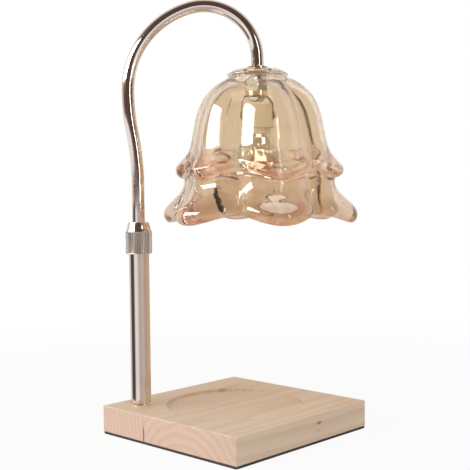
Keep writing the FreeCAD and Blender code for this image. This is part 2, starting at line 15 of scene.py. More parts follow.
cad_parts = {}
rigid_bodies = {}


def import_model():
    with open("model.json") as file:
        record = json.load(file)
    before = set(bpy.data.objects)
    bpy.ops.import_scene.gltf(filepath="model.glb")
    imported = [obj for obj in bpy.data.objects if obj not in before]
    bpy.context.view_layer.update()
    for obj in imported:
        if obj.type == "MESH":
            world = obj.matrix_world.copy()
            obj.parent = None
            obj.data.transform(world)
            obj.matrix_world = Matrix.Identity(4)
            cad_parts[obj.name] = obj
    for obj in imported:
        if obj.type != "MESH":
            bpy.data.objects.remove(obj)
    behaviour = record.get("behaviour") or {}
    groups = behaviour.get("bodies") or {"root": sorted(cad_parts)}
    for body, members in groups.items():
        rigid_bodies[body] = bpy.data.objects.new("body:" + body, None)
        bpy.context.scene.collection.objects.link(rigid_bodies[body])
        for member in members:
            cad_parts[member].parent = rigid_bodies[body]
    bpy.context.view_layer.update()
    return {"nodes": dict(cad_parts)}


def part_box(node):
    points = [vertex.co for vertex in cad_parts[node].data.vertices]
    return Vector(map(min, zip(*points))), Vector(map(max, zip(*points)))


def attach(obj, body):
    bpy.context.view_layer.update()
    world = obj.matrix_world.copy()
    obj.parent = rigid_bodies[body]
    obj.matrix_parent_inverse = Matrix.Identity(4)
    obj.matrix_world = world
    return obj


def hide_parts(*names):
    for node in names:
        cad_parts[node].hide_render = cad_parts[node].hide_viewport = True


for leftover in list(bpy.data.objects):
    bpy.data.objects.remove(leftover)
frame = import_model()
MM = 0.001
MM_PER_METRE = 1000.0

# %% [markdown]
# ## Places
# The post's axis and the shade's axis are read from the solids, so that every new piece lands on
# what carries it.

# %% The two upright axes
def middle_of(node):
    """The middle of a node's box, in millimetres."""
    low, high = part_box(node)
    return (low + high) / 2 / MM


POST_X, POST_Y, _ = middle_of("post_tube")
SHADE_X, SHADE_Y, _ = middle_of("shade_top_nut")
print(f"post axis {POST_X:.1f}, {POST_Y:.1f}; shade axis {SHADE_X:.1f}, {SHADE_Y:.1f}")


# %% [markdown]
# ## The camera
# The photograph was taken from close by, from a little below the middle of the shade. The camera
# stands on a line from a target point near the lamp's middle. It looks slightly past that point, it
# leans by about half a degree, and its picture frame is moved as the photograph is cropped.

# %% Set the camera
TARGET = Vector((0.0, 0.0, 0.170))
STAND = {"azimuth": -45.313, "elevation": 2.139, "distance": 0.7585}
LOOK = {"yaw": -2.022, "pitch": -0.058, "roll": 0.598}
FOCAL_PX = 942.84
FRAME_PX = 470.0
CROP_X_PX = 31.0
CROP_Y_PX = -15.5
SENSOR_MM = 36.0
FAR_CLIP = 50.0


def backward(azimuth_deg, elevation_deg):
    """The direction from the target back to a camera at this azimuth and elevation."""
    azimuth = math.radians(azimuth_deg)
    elevation = math.radians(elevation_deg)
    level = math.cos(elevation)
    return Vector((math.sin(azimuth) * level, -math.cos(azimuth) * level, math.sin(elevation)))


def add_camera():
    """A camera that stands where STAND says and is turned as LOOK says."""
    stand = backward(STAND["azimuth"], STAND["elevation"])
    back = backward(STAND["azimuth"] + LOOK["yaw"], STAND["elevation"] + LOOK["pitch"])
    level_right = (-back).cross(Vector((0, 0, 1))).normalized()
    level_down = (-back).cross(level_right)
    roll = math.radians(LOOK["roll"])
    right = level_right * math.cos(roll) + level_down * math.sin(roll)
    up = level_right * math.sin(roll) - level_down * math.cos(roll)
    data = bpy.data.cameras.new("camera")
    data.sensor_width = SENSOR_MM
    data.lens = FOCAL_PX / FRAME_PX * SENSOR_MM
    data.shift_x = -CROP_X_PX / FRAME_PX
    data.shift_y = CROP_Y_PX / FRAME_PX
    data.clip_end = FAR_CLIP
    camera = bpy.data.objects.new("camera", data)
    turn = Matrix((right, up, back)).transposed().to_4x4()
    camera.matrix_world = Matrix.Translation(TARGET + stand * STAND["distance"]) @ turn
    bpy.context.scene.collection.objects.link(camera)
    bpy.context.scene.camera = camera
    return camera


camera = add_camera()
camera_place = [round(value, 3) for value in camera.matrix_world.translation]
print("camera at", camera_place, "lens", round(camera.data.lens, 1))


# %% [markdown]
# ## Writing node trees as sums
# A material's pattern is arithmetic on the place of each point. Blender's editor draws that as a web
# of nodes, which is hard to read as text. The first class below wraps one output of a node, so that
# an expression such as `1 - mask` adds the node that does it. The second makes the nodes of one
# tree. Both serve materials and Geometry Nodes.

# %% A wrapped socket and a wrapped tree
class Wire:
    """One output of a node. Arithmetic on it adds Math nodes to its tree."""

    def __init__(self, graph, socket):
        self.graph = graph
        self.socket = socket

    def math(self, operation, *others):
        return self.graph.node("ShaderNodeMath", {"operation": operation}, [self, *others])

    def __add__(self, other):
        return self.math("ADD", other)

    def __sub__(self, other):
        return self.math("SUBTRACT", other)

    def __mul__(self, other):
        return self.math("MULTIPLY", other)

    def __truediv__(self, other):
        return self.math("DIVIDE", other)

    def __pow__(self, other):
        return self.math("POWER", other)

    def __radd__(self, other):
        return self.math("ADD", other)

    def __rmul__(self, other):
        return self.math("MULTIPLY", other)

    def __rsub__(self, other):
        return self.graph.node("ShaderNodeMath", {"operation": "SUBTRACT"}, [other, self])

    def __rtruediv__(self, other):
        return self.graph.node("ShaderNodeMath", {"operation": "DIVIDE"}, [other, self])

    def abs(self):
        return self.math("ABSOLUTE")

    def fraction(self):
        return self.math("FRACT")

    def root(self):
        return self.math("SQRT")

    def smaller(self, other):
        return self.math("MINIMUM", other)

    def rise(self, low, high):
        """0 below low, 1 above high, smooth between them. With low above high it falls instead."""
        settings = {"interpolation_type": "SMOOTHSTEP", "clamp": True}
        start, end = (0.0, 1.0) if low < high else (1.0, 0.0)
        values = {0: self, 1: min(low, high), 2: max(low, high), 3: start, 4: end}
        return self.graph.node("ShaderNodeMapRange", settings, values)


class Graph:
    """A node tree. Its node method makes any node, from its type, its settings and its inputs."""

    def __init__(self, tree):
        self.tree = tree

    def node(self, kind, settings=None, inputs=None, output=0):
        made = self.tree.nodes.new(kind)
        for name, value in (settings or {}).items():
            if name == "stops":
                self._set_stops(made.color_ramp.elements, value)
            else:
                setattr(made, name, value)
        pairs = inputs.items() if isinstance(inputs, dict) else enumerate(inputs or [])
        for key, value in pairs:
            self.feed(made.inputs[key], value)
        return Wire(self, made.outputs[output])

    def outputs(self, kind, inputs=None):
        """Every output of one new node, by name."""
        made = self.node(kind, inputs=inputs).socket.node
        return {socket.name: Wire(self, socket) for socket in made.outputs}

    def mix(self, share, first, second):
        """A colour between two colours."""
        return self.node("ShaderNodeMix", {"data_type": "RGBA"}, {0: share, 6: first, 7: second}, output=2)

    def feed(self, socket, value):
        if isinstance(value, Wire):
            self.tree.links.new(value.socket, socket)
        else:
            socket.default_value = value

    def _set_stops(self, elements, stops):
        while len(elements) < len(stops):
            elements.new(0.5)
        for element, (place, colour) in zip(elements, stops):
            element.position = place
            element.color = colour


print("helpers: Wire, Graph")


# %% [markdown]
# ## A finish
# Every finish starts from the point's own place on the lamp, in millimetres, so that a pattern stays
# on the piece when the arm swings. Noise is stretched by giving it a different scale along each axis:
# wood fibres and the draw marks on tube are long one way and fine the other way.

# %% The finish helper
def rgb(red, green, blue):
    return (red, green, blue, 1.0)


class Finish(Graph):
    """A new material, with patterns in millimetres and the shaders that the pieces use."""

    def __init__(self, name):
        self.material = bpy.data.materials.new(name)
        self.material.use_nodes = True
        super().__init__(self.material.node_tree)
        self.tree.nodes.clear()
        self.place = self.node("ShaderNodeTexCoord", output="Object")

    def axes(self):
        """The point's X, Y and Z in millimetres."""
        split = self.outputs("ShaderNodeSeparateXYZ", [self.place])
        return [axis * MM_PER_METRE for axis in split.values()]

    def scaled(self, per_mm):
        """The point's place with a scale of its own along each axis, in repeats for each millimetre."""
        factors = [MM_PER_METRE * value for value in per_mm]
        return self.node("ShaderNodeVectorMath", {"operation": "MULTIPLY"}, [self.place, factors])

    def noise(self, per_mm, detail=3.0, roughness=0.5):
        """Soft noise about one half."""
        if not isinstance(per_mm, tuple):
            per_mm = (per_mm, per_mm, per_mm)
        values = {"Vector": self.scaled(per_mm), "Scale": 1.0, "Detail": detail, "Roughness": roughness}
        return self.node("ShaderNodeTexNoise", inputs=values)

    def reach(self, axis_x, axis_y):
        """The point's distance from an upright axis, in millimetres."""
        x, y, _ = self.axes()
        return ((x - axis_x) ** 2.0 + (y - axis_y) ** 2.0).root()

    def bump(self, height, strength, depth_mm):
        values = {"Strength": strength, "Distance": depth_mm * MM, "Height": height}
        return self.node("ShaderNodeBump", inputs=values)

    def output(self, shader):
        out = self.tree.nodes.new("ShaderNodeOutputMaterial")
        self.tree.links.new(shader.socket, out.inputs["Surface"])

    def principled(self, **sockets):
        """The Principled shader. A socket's name has underscores for its spaces."""
        values = {name.replace("_", " "): value for name, value in sockets.items()}
        return self.node("ShaderNodeBsdfPrincipled", inputs=values)

    def finish(self, **sockets):
        self.output(self.principled(**sockets))
        return self.material

    def finish_glass(self, shadow_tint, **sockets):
        """Glass to every ray but a shadow ray, for which it is plain, tinted and clear."""
        shader = self.principled(**sockets)
        clear = self.node("ShaderNodeBsdfTransparent", inputs=[shadow_tint])
        shadow = self.node("ShaderNodeLightPath", output="Is Shadow Ray")
        self.output(self.node("ShaderNodeMixShader", inputs=[shadow, shader, clear]))
        return self.material


def dress(material, *nodes):
    """Gives solids this material through their own slots."""
    for name in nodes:
        for slot in frame["nodes"][name].material_slots:
            slot.material = material
    print(material.name, "on", ", ".join(nodes))


print("helpers: rgb, Finish, dress")


# %% [markdown]
# ## Pieces from rows of points
# The glass and the grip are closed skins: rows of points that run round the piece, each joined to
# the next row by quads. The helpers make such points, the quads and the object, in millimetres. The
# place is in the mesh, and the object stays at the origin.

# %% Make a mesh piece
def mesh_piece(name, points, faces, material, smooth=True):
    """An object at the origin from points in millimetres."""
    mesh = bpy.data.meshes.new(name)
    mesh.from_pydata([Vector(p) * MM for p in points], [], faces)
    mesh.polygons.foreach_set("use_smooth", [smooth] * len(faces))
    mesh.materials.append(material)
    mesh.validate()
    mesh.update()
    piece = bpy.data.objects.new(name, mesh)
    bpy.context.scene.collection.objects.link(piece)
    return piece


def skin_faces(rows, columns, closed_rows=True):
    """Quads between rows of points that each run once round. Closed rows join the last to the first."""
    faces = []
    for i in range(rows if closed_rows else rows - 1):
        row = i * columns
        below = (i + 1) % rows * columns
        for j in range(columns):
            beside = (j + 1) % columns
            faces.append((row + j, below + j, below + beside, row + beside))
    return faces


def turned_points(profile, columns, x, y):
    """Rows round an upright axis, one for each (radius, height) corner."""
    points = []
    for radius, height in profile:
        for j in range(columns):
            angle = 2 * math.pi * j / columns
            points.append((x + radius * math.cos(angle), y + radius * math.sin(angle), height))
    return points


def smooth_between(a, b, c, d, t):
    """A value between b and c, t of the way, on the smooth curve through four values."""
    value = 2 * b + (c - a) * t
    value += (2 * a - 5 * b + 4 * c - d) * t**2
    value += (3 * b - a - 3 * c + d) * t**3
    return 0.5 * value


def spline_rows(rows, steps):
    """More rows on a smooth curve through the given rows, each a tuple of numbers."""
    finer = []
    for i in range(len(rows) - 1):
        before = rows[max(i - 1, 0)]
        after = rows[min(i + 2, len(rows) - 1)]
        neighbours = list(zip(before, rows[i], rows[i + 1], after))
        for step in range(steps):
            finer.append(tuple(smooth_between(*four, step / steps) for four in neighbours))
    return finer + [tuple(rows[-1])]


print("helpers: mesh_piece, skin_faces, turned_points, spline_rows")


# %% [markdown]
# ## The glass shade
# The shade is pressed champagne glass: two tiers of six petals, an upper skirt that rolls out over a
# lower one, and a flat disc on top that the nuts clamp. Seen from above, each petal is an arc that
# bulges from valley to valley. The wall is drawn as rings, each with a radius and a height at a
# petal's middle and in the valley, first down the outside and then up the inside. Sculpting could do
# this too, but the rings keep both tiers exactly sixfold, as a mould does. The solid has much the
# same rings, drawn coarsely. Here they are drawn finely, the valleys are rounded as in melted glass,
# and those of the upper lip stand a few millimetres higher, so that the lip waves more.

# %% Rings of the glass wall
PETALS = 6
# The middle of the first petal, in degrees from the X axis.
FIRST_PETAL_DEG = -122.5
# Each ring: radius and height at a petal's middle, then radius and height in the valley.
DISC_RINGS = [
    (5.6, 288.5, 5.6, 288.5),
    (5.6, 290.6, 5.6, 290.6),
    (6.0, 291.0, 6.0, 291.0),
    (12.0, 291.0, 12.0, 291.0),
    (17.0, 291.0, 17.0, 291.0),
    (18.2, 290.7, 18.2, 290.7),
    (21.4, 289.3, 21.4, 289.3),
    (23.8, 287.8, 23.8, 287.8),
    (24.5, 286.9, 24.5, 286.9),
    (24.3, 285.9, 24.3, 285.9),
    (23.4, 285.4, 23.4, 285.3),
    (23.6, 284.8, 23.1, 284.8),
]
OUTSIDE_RINGS = [
    (24.6, 284.2, 24.0, 284.2),
    (30.8, 281.5, 27.6, 281.2),
    (36.2, 278.0, 31.2, 277.5),
    (41.3, 273.4, 34.8, 272.5),
    (45.2, 268.8, 37.6, 267.6),
    (48.9, 261.5, 41.0, 261.0),
    (51.5, 253.0, 43.6, 253.0),
    (53.6, 243.0, 45.8, 243.0),
    (55.7, 232.6, 48.0, 233.5),
    (58.0, 225.5, 50.2, 227.0),
    (62.2, 219.4, 52.8, 223.2),
    (66.2, 214.6, 55.0, 220.2),
    (68.9, 211.2, 56.5, 217.8),
    (68.8, 207.4, 56.8, 215.4),
    (66.0, 204.8, 55.9, 213.2),
    (62.8, 203.6, 54.6, 210.8),
    (61.7, 200.6, 53.9, 206.4),
    (62.6, 196.8, 53.9, 200.6),
    (65.6, 192.2, 54.3, 194.8),
    (71.8, 186.4, 55.5, 189.0),
    (77.6, 180.6, 56.8, 184.0),
    (79.9, 175.6, 57.4, 180.2),
    (79.2, 171.2, 57.3, 177.4),
    (76.4, 168.4, 56.4, 175.8),
]
INSIDE_RINGS = [
    (72.8, 169.4, 54.9, 176.0),
    (70.4, 173.8, 53.6, 178.4),
    (67.0, 180.6, 52.3, 182.8),
    (61.8, 187.6, 50.9, 189.0),
    (58.8, 194.6, 50.2, 195.6),
    (57.8, 202.6, 49.9, 203.4),
    (57.0, 210.0, 49.4, 210.6),
    (54.6, 219.0, 47.2, 219.4),
    (52.1, 229.6, 44.6, 229.8),
    (50.0, 242.0, 42.2, 242.0),
    (47.8, 252.4, 39.9, 252.4),
    (45.0, 260.4, 37.2, 260.2),
    (40.6, 268.0, 33.4, 267.2),
    (34.6, 273.6, 29.0, 272.6),
    (26.6, 278.2, 23.6, 277.6),
    (17.0, 282.4, 16.4, 282.2),
    (10.0, 285.2, 10.0, 285.2),
    (6.6, 286.0, 6.6, 286.0),
    (5.6, 286.6, 5.6, 286.6),
]
print("rings:", len(DISC_RINGS), "disc,", len(OUTSIDE_RINGS), "outside,", len(INSIDE_RINGS), "inside")


# %% Points on the rings
DISC_STEPS = 2
RING_STEPS = 4
PETAL_COLUMNS = 36
VALLEY_ROUNDING = {"outside": 1.6, "inside": 2.4}
ROUND_BELOW = 0.05
FULL_ROUNDING_FROM = 5.0


def petal_radius(middle, valley, angle):
    """Radius of a petal at this angle from its middle, in radians: an arc from valley to valley."""
    offset = (middle**2 - valley**2) / (2 * (middle - valley * math.cos(math.pi / PETALS)))
    bulge = middle - offset
    return offset * math.cos(angle) + math.sqrt(max(bulge**2 - (offset * math.sin(angle)) ** 2, 0.0))


def ring_radius(middle, valley, angle, side):
    """The larger of two neighbouring petals, with a rounded valley between them."""
    petal_depth = middle - valley
    if petal_depth < ROUND_BELOW:
        return middle
    own = petal_radius(middle, valley, angle)
    neighbour = petal_radius(middle, valley, 2 * math.pi / PETALS - abs(angle))
    rounding = VALLEY_ROUNDING[side] * min(1.0, petal_depth / FULL_ROUNDING_FROM)
    return own + rounding * math.log(1 + math.exp((neighbour - own) / rounding))


def petal_angles():
    """Angles from a petal's middle, in radians, closest together in the valleys."""
    angles = []
    for column in range(PETAL_COLUMNS):
        t = 2 * column / PETAL_COLUMNS - 1
        angles.append(math.pi / PETALS * (1.5 * t - 0.5 * t**3))
    return angles


def shade_points():
    """The points of every ring, petal by petal, and the number of rings."""
    rings = spline_rows(DISC_RINGS, DISC_STEPS)[:-1]
    rings += spline_rows(DISC_RINGS[-1:] + OUTSIDE_RINGS + INSIDE_RINGS, RING_STEPS)
    first_inside = len(rings) - RING_STEPS * len(INSIDE_RINGS)
    points = []
    for k, (middle, middle_z, valley, valley_z) in enumerate(rings):
        side = "outside" if k < first_inside else "inside"
        for petal in range(PETALS):
            for local in petal_angles():
                radius = ring_radius(middle, valley, local, side)
                share = (1 + math.cos(PETALS * local)) / 2
                height = valley_z + (middle_z - valley_z) * share
                angle = local + math.radians(FIRST_PETAL_DEG + 360 / PETALS * petal)
                x = SHADE_X + radius * math.cos(angle)
                y = SHADE_Y + radius * math.sin(angle)
                points.append((x, y, height))
    return points, len(rings)


print("helpers: petal_radius, ring_radius, petal_angles, shade_points")


# %% [markdown]
# The glass lets light through, so its look comes from the wall's real thickness. Its tint is
# champagne, palest in the bell and deeper in the skirt and wherever the wall is seen at a slant. It
# turns coppery in blotches on the rims, where its lustre looks thickest, and the undersides of the
# lips, which face down, get the same copper as painted shade. A wall that bends light as much as
# real glass drew black lines along the folds here, so this one bends it only a little, and a clear
# coat gives it the reflections of real glass. Lamps would throw a hard, noisy pattern through it, so
# for shadow rays the glass is plain and clear.

# %% Champagne glass
CHAMPAGNE = rgb(0.85, 0.745, 0.605)
CHAMPAGNE_DEEP = rgb(0.79, 0.655, 0.505)
CHAMPAGNE_RIM = rgb(0.71, 0.565, 0.43)
CHAMPAGNE_EDGE = rgb(0.62, 0.43, 0.33)
COPPER_LUSTRE_AND_SHADE = rgb(0.58, 0.22, 0.13)
CHAMPAGNE_SHADE = rgb(0.93, 0.86, 0.76)
# Each pair is where a part of the glass starts and where it is full, in millimetres: heights, or
# distances from the shade's axis where the name says reach, or from a height where it says fade.
BELL = (198.0, 210.0)
SKIRT_RIM = (190.0, 182.0)
LOWER_LIP = (177.0, 172.0)
LOWER_EDGE_REACH = (66.0, 78.0)
UPPER_LIP_HEIGHT = 209.0
UPPER_LIP_FADE = (10.0, 5.0)
UPPER_LIP_REACH = (52.0, 56.0)
UPPER_EDGE_HEIGHT = 212.0
UPPER_EDGE_FADE = (16.0, 2.0)
UPPER_EDGE_REACH = (52.0, 64.0)
STREAKED = (175.0, 205.0)


def champagne_tint(glass, z):
    """The tint by height, deepened where the wall is seen at a slant."""
    tint = glass.mix(z.rise(*BELL), CHAMPAGNE_DEEP, CHAMPAGNE)
    tint = glass.mix(z.rise(*SKIRT_RIM), tint, CHAMPAGNE_RIM)
    slant = glass.node("ShaderNodeLayerWeight", inputs={"Blend": 0.5}, output="Facing")
    return glass.mix(slant.rise(0.30, 0.95) * 0.9, tint, CHAMPAGNE_EDGE)


def copper_and_underside_shade(glass, z):
    """How coppery each point is: lustre blotches on the rims, faint streaks and painted shade under the
    lips.
    """
    reach = glass.reach(SHADE_X, SHADE_Y)
    upper_edge = (z - UPPER_EDGE_HEIGHT).abs().rise(*UPPER_EDGE_FADE) * reach.rise(*UPPER_EDGE_REACH)
    edges = upper_edge + reach.rise(*LOWER_EDGE_REACH) * 0.7
    blotches = edges * glass.noise(0.09, 4.0, 0.6).rise(0.43, 0.60)
    upper_lip = (z - UPPER_LIP_HEIGHT).abs().rise(*UPPER_LIP_FADE) * reach.rise(*UPPER_LIP_REACH)
    lips = (upper_lip + z.rise(*LOWER_LIP)).smaller(1.0)
    # Painted shade: where the lips face down, the glass takes the copper colour as if shaded.
    normal = glass.node("ShaderNodeNewGeometry", output="Normal")
    underside_shade = glass.outputs("ShaderNodeSeparateXYZ", [normal])["Z"].rise(-0.25, -0.85) * lips
    streaks = glass.noise(0.035, 3.0).rise(0.60, 0.74) * 0.25 * z.rise(*STREAKED)
    return (blotches * 0.8 + streaks + underside_shade * 0.7).smaller(1.0)


def champagne_glass():
    glass = Finish("champagne_glass")
    _, _, z = glass.axes()
    ripple = glass.noise((0.05, 0.05, 0.03), 2.0) + glass.noise(0.16, 2.0) * 0.25
    return glass.finish_glass(
        CHAMPAGNE_SHADE,
        Base_Color=glass.mix(copper_and_underside_shade(glass, z), champagne_tint(glass, z), COPPER_LUSTRE_AND_SHADE),
        Roughness=0.015,
        IOR=1.24,
        Transmission_Weight=1.0,
        Coat_Weight=1.0,
        Coat_Roughness=0.015,
        Coat_IOR=1.5,
        Normal=glass.bump(ripple, 0.35, 1.2),
    )


points, ring_count = shade_points()
shade_glass = mesh_piece(
    "shade_glass", points, skin_faces(ring_count, PETALS * PETAL_COLUMNS), champagne_glass()
)
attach(shade_glass, "arm")
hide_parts("glass_shade")
print("shade:", ring_count, "rings,", len(shade_glass.data.polygons), "quads")


# %% [markdown]
# ## Pale wood
# The base is two staves of a ring-porous pale wood, glued edge to edge. Rings are circles round the
# tree's middle, so each stave gets the place of its tree's middle in the Y and Z plane, and the same
# rings then show as arches on the end grain, as long lines on the sides and as broad flames on top.
# That is why the wood is made in three dimensions and not painted on each face.

# %% The grain of one stave
WOOD_LIGHT = rgb(0.72, 0.575, 0.43)
WOOD_RING = rgb(0.60, 0.42, 0.30)
WOOD_END = rgb(0.74, 0.54, 0.42)
WOOD_END_RING = rgb(0.64, 0.41, 0.31)
WOOD_FIBRE = rgb(0.86, 0.73, 0.57)
WOOD_PORE = rgb(0.42, 0.28, 0.18)
# Late wood darkens slowly between these two shares of a ring and is gone by the ring's end.
LATE_WOOD_FROM = 0.15
LATE_WOOD_PEAK = 0.86


def late_wood(wood, y, z, heart_y, heart_z, pitch):
    """How deep in the dark late wood of its ring each point lies, for rings round a line along X."""
    sway = wood.noise((0.006, 0.03, 0.03), 2.0) * 9.0 + wood.noise((0.03, 0.12, 0.12), 2.0) * 1.4
    season = wood.noise((0.0, 0.05, 0.05), 1.0) * 3.0
    depth = ((y - heart_y) ** 2.0 + (z - heart_z) ** 2.0).root() + sway + season
    ring = (depth / pitch).fraction()
    return ring.rise(LATE_WOOD_FROM, LATE_WOOD_PEAK) * ring.rise(1.0, LATE_WOOD_PEAK)


def grain_colour(wood, late, fibre, pores, at_end):
    """Long grain on the sides and the top, redder end grain on the two ends."""
    cloud = wood.noise((0.008, 0.04, 0.04), 2.0).rise(0.45, 0.75)
    specks = wood.noise((0.3, 2.4, 2.4), 2.0).rise(0.45, 0.70)
    long_grain = wood.mix(late * 0.46 + cloud * 0.22, WOOD_LIGHT, WOOD_RING)
    end_grain = wood.mix((late * 0.55 + specks * 0.18).smaller(1.0), WOOD_END, WOOD_END_RING)
    colour = wood.mix(at_end, long_grain, end_grain)
    colour = wood.mix(fibre.rise(0.35, 0.75) * 0.16, colour, WOOD_FIBRE)
    return wood.mix(pores * 0.20 * (1 - at_end), colour, WOOD_PORE)


print("helpers: late_wood, grain_colour")


# %% [markdown]
# Some marks belong to this one block. The glue line is a fine dark line that opens low on the end, a
# brown streak lies on the top, and a knot with a small mark below it is in one side. Each is an oval
# or a line at its own place, and a band just below a face keeps it to that face.

# %% The marks in the wood
GLUE_DARK = rgb(0.11, 0.045, 0.025)
STREAK_BROWN = rgb(0.42, 0.27, 0.19)
KNOT_BROWN = rgb(0.20, 0.10, 0.055)
MARK_BROWN = rgb(0.30, 0.18, 0.12)
BASE_EDGE, GLUE_LINE_Y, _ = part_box("base_stave_front")[1] / MM
# Where a mark starts and is full: by the distance below its face, and by height on the block.
FACE_SKIN = (0.8, 0.2)
TOP_SKIN = (16.0, 17.0)
GLUE_OPEN = (15.0, 11.0)
# Each mark: its middle and its half lengths.
STREAK = ((40.0, 47.0), (17.0, 2.6))
KNOT = ((16.0, 15.6), (4.2, 1.5))
SMALL_MARK = ((15.0, 9.8), (2.6, 0.8))


def oval(across, along, middle, half):
    """0 in an oval's middle and 1 on its line, growing with the square of the distance."""
    return ((across - middle[0]) / half[0]) ** 2.0 + ((along - middle[1]) / half[1]) ** 2.0


def marked(wood, colour, axes, at_end, fibre):
    """The colour with the glue line, the streak, the knot and the small mark over it."""
    x, y, z = axes
    from_glue = (y - GLUE_LINE_Y).abs()
    glue = from_glue.rise(0.35, 0.05) * 0.2 + from_glue.rise(1.1, 0.4) * at_end * z.rise(*GLUE_OPEN)
    colour = wood.mix(glue.smaller(1.0) * 0.85, colour, GLUE_DARK)
    streak = oval(x, y + fibre * 2.0, *STREAK).rise(1.4, 0.2) * z.rise(*TOP_SKIN)
    colour = wood.mix(streak * 0.5, colour, STREAK_BROWN)
    on_side = y.rise(*[skin - BASE_EDGE for skin in FACE_SKIN])
    knot = (oval(x, z, *KNOT).root() + wood.noise(0.5) * 0.5).rise(1.25, 0.6)
    colour = wood.mix(knot * on_side * 0.85, colour, KNOT_BROWN)
    small_mark = oval(x, z, *SMALL_MARK).rise(1.6, 0.4)
    return wood.mix(small_mark * on_side * 0.35, colour, MARK_BROWN)


def stave_wood(name, heart_y, heart_z, pitch):
    """Pale wood whose rings circle a line along X, with the given distance from ring to ring."""
    wood = Finish(name)
    axes = wood.axes()
    x, y, z = axes
    late = late_wood(wood, y, z, heart_y, heart_z, pitch)
    fibre = wood.noise((0.02, 0.9, 0.9), 4.0, 0.65)
    pores = wood.noise((0.09, 3.2, 3.2), 2.0).rise(0.66, 0.78)
    at_end = x.abs().rise(*[BASE_EDGE - skin for skin in FACE_SKIN])
    colour = grain_colour(wood, late, fibre, pores, at_end)
    return wood.finish(
        Base_Color=marked(wood, colour, axes, at_end, fibre),
        Roughness=0.50 + 0.12 * fibre,
        Coat_Weight=0.12,
        Coat_Roughness=0.35,
        Normal=wood.bump(fibre * 0.5 + late * 0.3 - pores * 0.5, 0.25, 0.12),
    )


dress(stave_wood("pale_wood_front", heart_y=-20.0, heart_z=-28.0, pitch=7.2), "base_stave_front")
dress(stave_wood("pale_wood_rear", heart_y=150.0, heart_z=4.0, pitch=4.6), "base_stave_rear")
print(f"the base's edge is at {BASE_EDGE:.1f} and its glue line at {GLUE_LINE_Y:.1f}")


# %% [markdown]
# ## Plated metal
# The tubes are steel with a warm nickel plate, polished but not perfect: fine upright marks run over
# them, and handling leaves duller spots. The small ring at the post's foot and the nut on the glass
# are light gold. The finish below serves them all, with its colour and its roughness as arguments.

# %% Metal finish
UPRIGHT_MARKS = (0.9, 0.9, 0.012)
WORN_SHARE = 0.88


def plated(name, colour, roughness, dulling=0.05, grain=UPRIGHT_MARKS):
    """Polished plate: a base colour, cloudy duller spots, fine marks along one axis and a few pits."""
    metal = Finish(name)
    spots = metal.noise(0.06, 4.0, 0.6)
    lines = metal.noise(grain, 3.0, 0.6)
    pits = metal.noise(1.4, 2.0).rise(0.70, 0.80)
    worn = rgb(*[channel * WORN_SHARE for channel in colour[:3]])
    return metal.finish(
        Base_Color=metal.mix(spots.rise(0.42, 0.72) * 0.5 + pits * 0.5, colour, worn),
        Metallic=1.0,
        Roughness=roughness + spots.rise(0.5, 0.8) * dulling + pits * 0.15,
        Normal=metal.bump(lines + pits * -0.4, 0.04, 0.05),
    )


NICKEL = rgb(0.80, 0.725, 0.675)
dress(plated("warm_nickel", NICKEL, 0.10), "post_tube", "arm_tube", "bracket_spacer")
dress(plated("light_gold", rgb(0.90, 0.72, 0.46), 0.10), "post_foot_ring", "shade_top_nut")
dress(
    plated("plain_brass", rgb(0.78, 0.60, 0.30), 0.28, 0.12),
    "post_foot_plug",
    "post_head_bush",
    "clamp_collet",
    "arm_foot_ferrule",
)
dress(
    plated("zinc", rgb(0.38, 0.45, 0.50), 0.20, 0.12),
    "foot_washer",
    "foot_nut",
    "foot_nipple",
    "shade_nut",
    "bracket_nut",
    "bracket_screws",
)
dress(plated("spring_bronze", rgb(0.72, 0.46, 0.26), 0.22, 0.1), "holder_contacts")
dress(plated("pin_nickel", rgb(0.74, 0.72, 0.68), 0.18, 0.1), "bulb_pins")
dress(plated("bracket_steel", rgb(0.22, 0.17, 0.13), 0.35, 0.15), "holder_bracket")


# %% [markdown]
# ## The lock collar
# The collar is a turned ring with a straight knurl, so that dry fingers can loosen it. A knurl is a
# ridge that repeats round an axis, so Geometry Nodes make it: points on a circle, one small ridge on
# each, turned to face outwards. The same tree makes the ridges real, adds them to the turned body
# and gives them all their material.

# %% The collar's outline
COLLAR_COLUMNS = 96
CORNER_GAP = 0.12
# Radius and height at each corner.
COLLAR_PROFILE = [
    (8.06, 144.3),
    (9.8, 144.3),
    (10.2, 144.6),
    (10.2, 145.0),
    (9.95, 145.2),
    (9.95, 161.8),
    (10.25, 162.0),
    (10.3, 162.4),
    (10.1, 162.7),
    (9.4, 164.9),
    (8.35, 169.1),
    (8.1, 169.55),
    (7.6, 169.7),
    (5.6, 169.7),
    (5.3, 169.4),
    (5.3, 167.0),
    (7.06, 163.0),
    (7.06, 148.0),
    (8.06, 148.0),
]


def spread_corners(profile):
    """The profile with each corner as two close points, so that smooth shading keeps its edges."""
    spread = []
    for i, corner in enumerate(profile):
        here = Vector(corner)
        for other in (Vector(profile[i - 1]), Vector(profile[(i + 1) % len(profile)])):
            step = other - here
            share = min(CORNER_GAP / max(step.length, 1e-6), 0.45)
            spread.append(tuple(here + step * share))
    return spread


collar_outline = spread_corners(COLLAR_PROFILE)
print("collar outline:", len(collar_outline), "points")


# %% Geometry Nodes trees: how one starts, ends and runs
def new_tree(name, sizes):
    """A tree that takes in geometry and the named sizes, as a graph and its inputs by name."""
    tree = bpy.data.node_groups.new(name, "GeometryNodeTree")
    tree.interface.new_socket("Geometry", in_out="INPUT", socket_type="NodeSocketGeometry")
    for label, kind in sizes.items():
        tree.interface.new_socket(label, in_out="INPUT", socket_type=f"NodeSocket{kind}")
    tree.interface.new_socket("Geometry", in_out="OUTPUT", socket_type="NodeSocketGeometry")
    graph = Graph(tree)
    return graph, graph.outputs("NodeGroupInput")


def close_tree(graph, geometry, material):
    """Gives the geometry its material and sends it out of the tree."""
    painted = graph.node("GeometryNodeSetMaterial", inputs={"Geometry": geometry, "Material": material})
    out = graph.tree.nodes.new("NodeGroupOutput")
    graph.tree.links.new(painted.socket, out.inputs[0])
    return graph.tree


